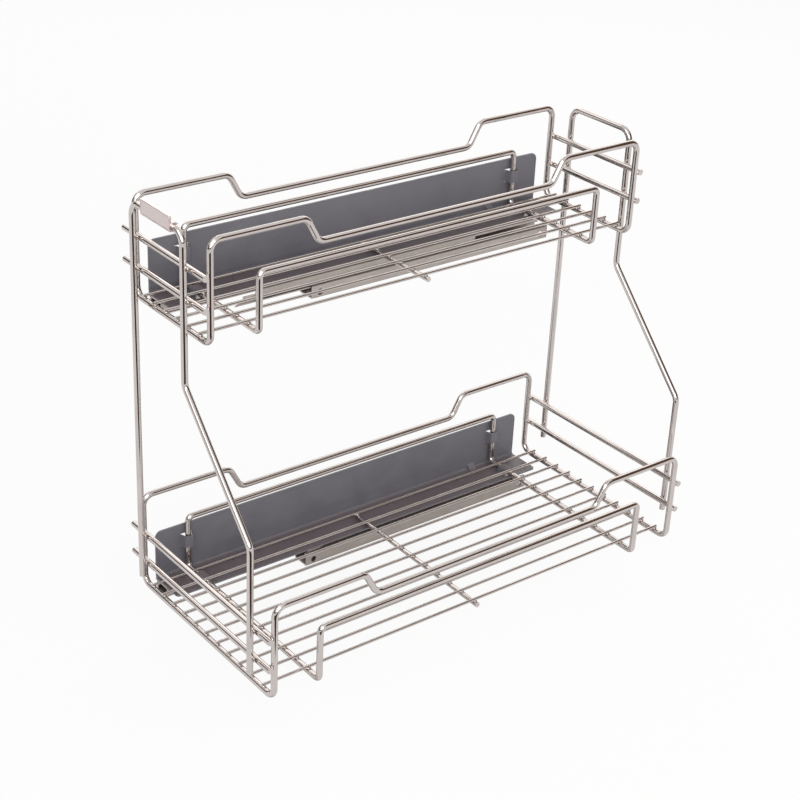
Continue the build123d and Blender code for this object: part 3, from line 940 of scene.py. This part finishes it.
# Place and size of each soft lamp, and its share of the key lamp's power. Lamps that aren't
# mirrored only light the rack, and lamps that aren't lighting only show in the metal.
LAMPS = {
    "key_lamp": {"place": Vector((-1.4, -1.9, 1.2)), "size": (1.8, 1.4), "power_share": 1},
    "fill_lamp": {"place": Vector((1.3, -1.6, 1.3)), "size": (1.8, 1.4), "power_share": 0.45,
                  "mirrored": False},
    "back_lamp": {"place": Vector((1.3, 1.7, 1.3)), "size": (2.8, 1.3), "power_share": 0.5,
                  "mirrored": False},
    "back_glow": {"place": Vector((1.25, 1.64, 1.26)), "size": (2.2, 1.0), "power_share": 0.27,
                  "lighting": False, "warm": True},
    "rail_lamp": {"place": CAD_MIDDLE + Vector((-0.23, 1.31, 1.35)), "size": (0.9, 0.5),
                  "power_share": 0.03, "lighting": False},
    "bend_lamp": {"place": CAD_MIDDLE + Vector((-1.14, -0.28, 1.48)), "size": (1.0, 1.0),
                  "power_share": 0.2, "lighting": False},
}


def soft_lamp(name, stage, place, size, power_share, mirrored=True, lighting=True, warm=False):
    """Hang a soft lamp that looks at the rack's middle."""
    lamp = bpy.data.lights.new(name, "AREA")
    lamp.shape = "RECTANGLE"
    lamp.size, lamp.size_y = size
    lamp.energy = stage.key_power * power_share
    lamp.color = stage.glow_colour if warm else (1, 1, 1)
    made = bpy.data.objects.new(name, lamp)
    made.location = place
    made.rotation_euler = (CAD_MIDDLE - place).to_track_quat("-Z", "Y").to_euler()
    made.visible_glossy = mirrored
    made.visible_diffuse = lighting
    bpy.context.scene.collection.objects.link(made)


def studio_camera(stage):
    """Stand the camera where it sees the rack over its door end."""
    lens = bpy.data.cameras.new("camera")
    lens.lens = stage.lens
    lens.sensor_width = SENSOR_WIDTH_MM
    lens.clip_start = NEAR_CLIP
    camera = bpy.data.objects.new("camera", lens)
    turned = Matrix((EYE_RIGHT, EYE_UP, EYE_BACK)).transposed()
    camera.matrix_world = Matrix.Translation(EYE) @ turned.to_4x4()
    bpy.context.scene.collection.objects.link(camera)
    bpy.context.scene.camera = camera


class RACK_OT_stage(bpy.types.Operator):
    """Set up the floor, the mirrored cards, the lamps, the even light and the camera"""

    bl_idname = "rack.stage"
    bl_label = "Set up the stage"

    def execute(self, context):
        stage = context.scene.rack_stage
        low, high = CAD_BOX
        reach = Vector((FLOOR_REACH, FLOOR_REACH, 0))
        ground = level_square(CAD_MIDDLE - reach, CAD_MIDDLE + reach, low.z)
        stage_mesh("studio_floor", ground, [(0, 1, 2, 3)], floor_finish(stage))

        dark = card_finish("dark card", stage.room_colour)
        card_wall("dark_room", DARK_CARD_TOPS, dark)
        card_wall("brown_room", BROWN_CARD_TOPS, card_finish("brown card", stage.brown_colour))
        floor_mat("front_mat", EYE_TURN, dark)
        floor_mat("back_mat", EYE_TURN + math.pi, dark)
        under = level_square(low, high, low.z + SHADE_LIFT)
        shaded = card_finish("shaded floor", stage.shade_colour)
        only_mirrored(stage_mesh("under_mat", under, [(0, 1, 2, 3)], shaded))

        studio_world(stage)
        for name, settings in LAMPS.items():
            soft_lamp(name, stage, **settings)
        studio_camera(stage)
        context.scene.view_settings.view_transform = "Standard"
        return {"FINISHED"}


PIECE_OPERATORS = (
    RACK_OT_wires,
    RACK_OT_carriers,
    RACK_OT_slides,
    RACK_OT_plate,
    RACK_OT_floor_welds,
    RACK_OT_rail_welds,
    RACK_OT_stage,
)


class RACK_PT_panel(bpy.types.Panel):
    """Sidebar panel with the rack's values and steps"""

    bl_idname = "RACK_PT_panel"
    bl_label = "Detergent rack"
    bl_space_type = "VIEW_3D"
    bl_region_type = "UI"
    bl_category = "Rack"

    def draw(self, context):
        for title, group in (("Finishes", context.scene.rack_finishes),
                             ("Sizes", context.scene.rack_sizes),
                             ("Stage", context.scene.rack_stage)):
            box = self.layout.box()
            box.label(text=title)
            for name in group.__annotations__:
                box.prop(group, name)
        for operator in PIECE_OPERATORS:
            self.layout.operator(operator.bl_idname)


GROUPS = (RackFinishes, RackSizes, RackStage)
CLASSES = (*GROUPS, *PIECE_OPERATORS, RACK_PT_panel)


def register():
    for made in CLASSES:
        bpy.utils.register_class(made)
    bpy.types.Scene.rack_finishes = PointerProperty(type=RackFinishes)
    bpy.types.Scene.rack_sizes = PointerProperty(type=RackSizes)
    bpy.types.Scene.rack_stage = PointerProperty(type=RackStage)


def unregister():
    del bpy.types.Scene.rack_stage
    del bpy.types.Scene.rack_sizes
    del bpy.types.Scene.rack_finishes
    for made in reversed(CLASSES):
        bpy.utils.unregister_class(made)


def main():
    register()
    bpy.ops.rack.wires()
    bpy.ops.rack.carriers()
    bpy.ops.rack.slides()
    bpy.ops.rack.plate()
    bpy.ops.rack.floor_welds()
    bpy.ops.rack.rail_welds()
    bpy.ops.rack.stage()


if __name__ == "__main__":
    main()
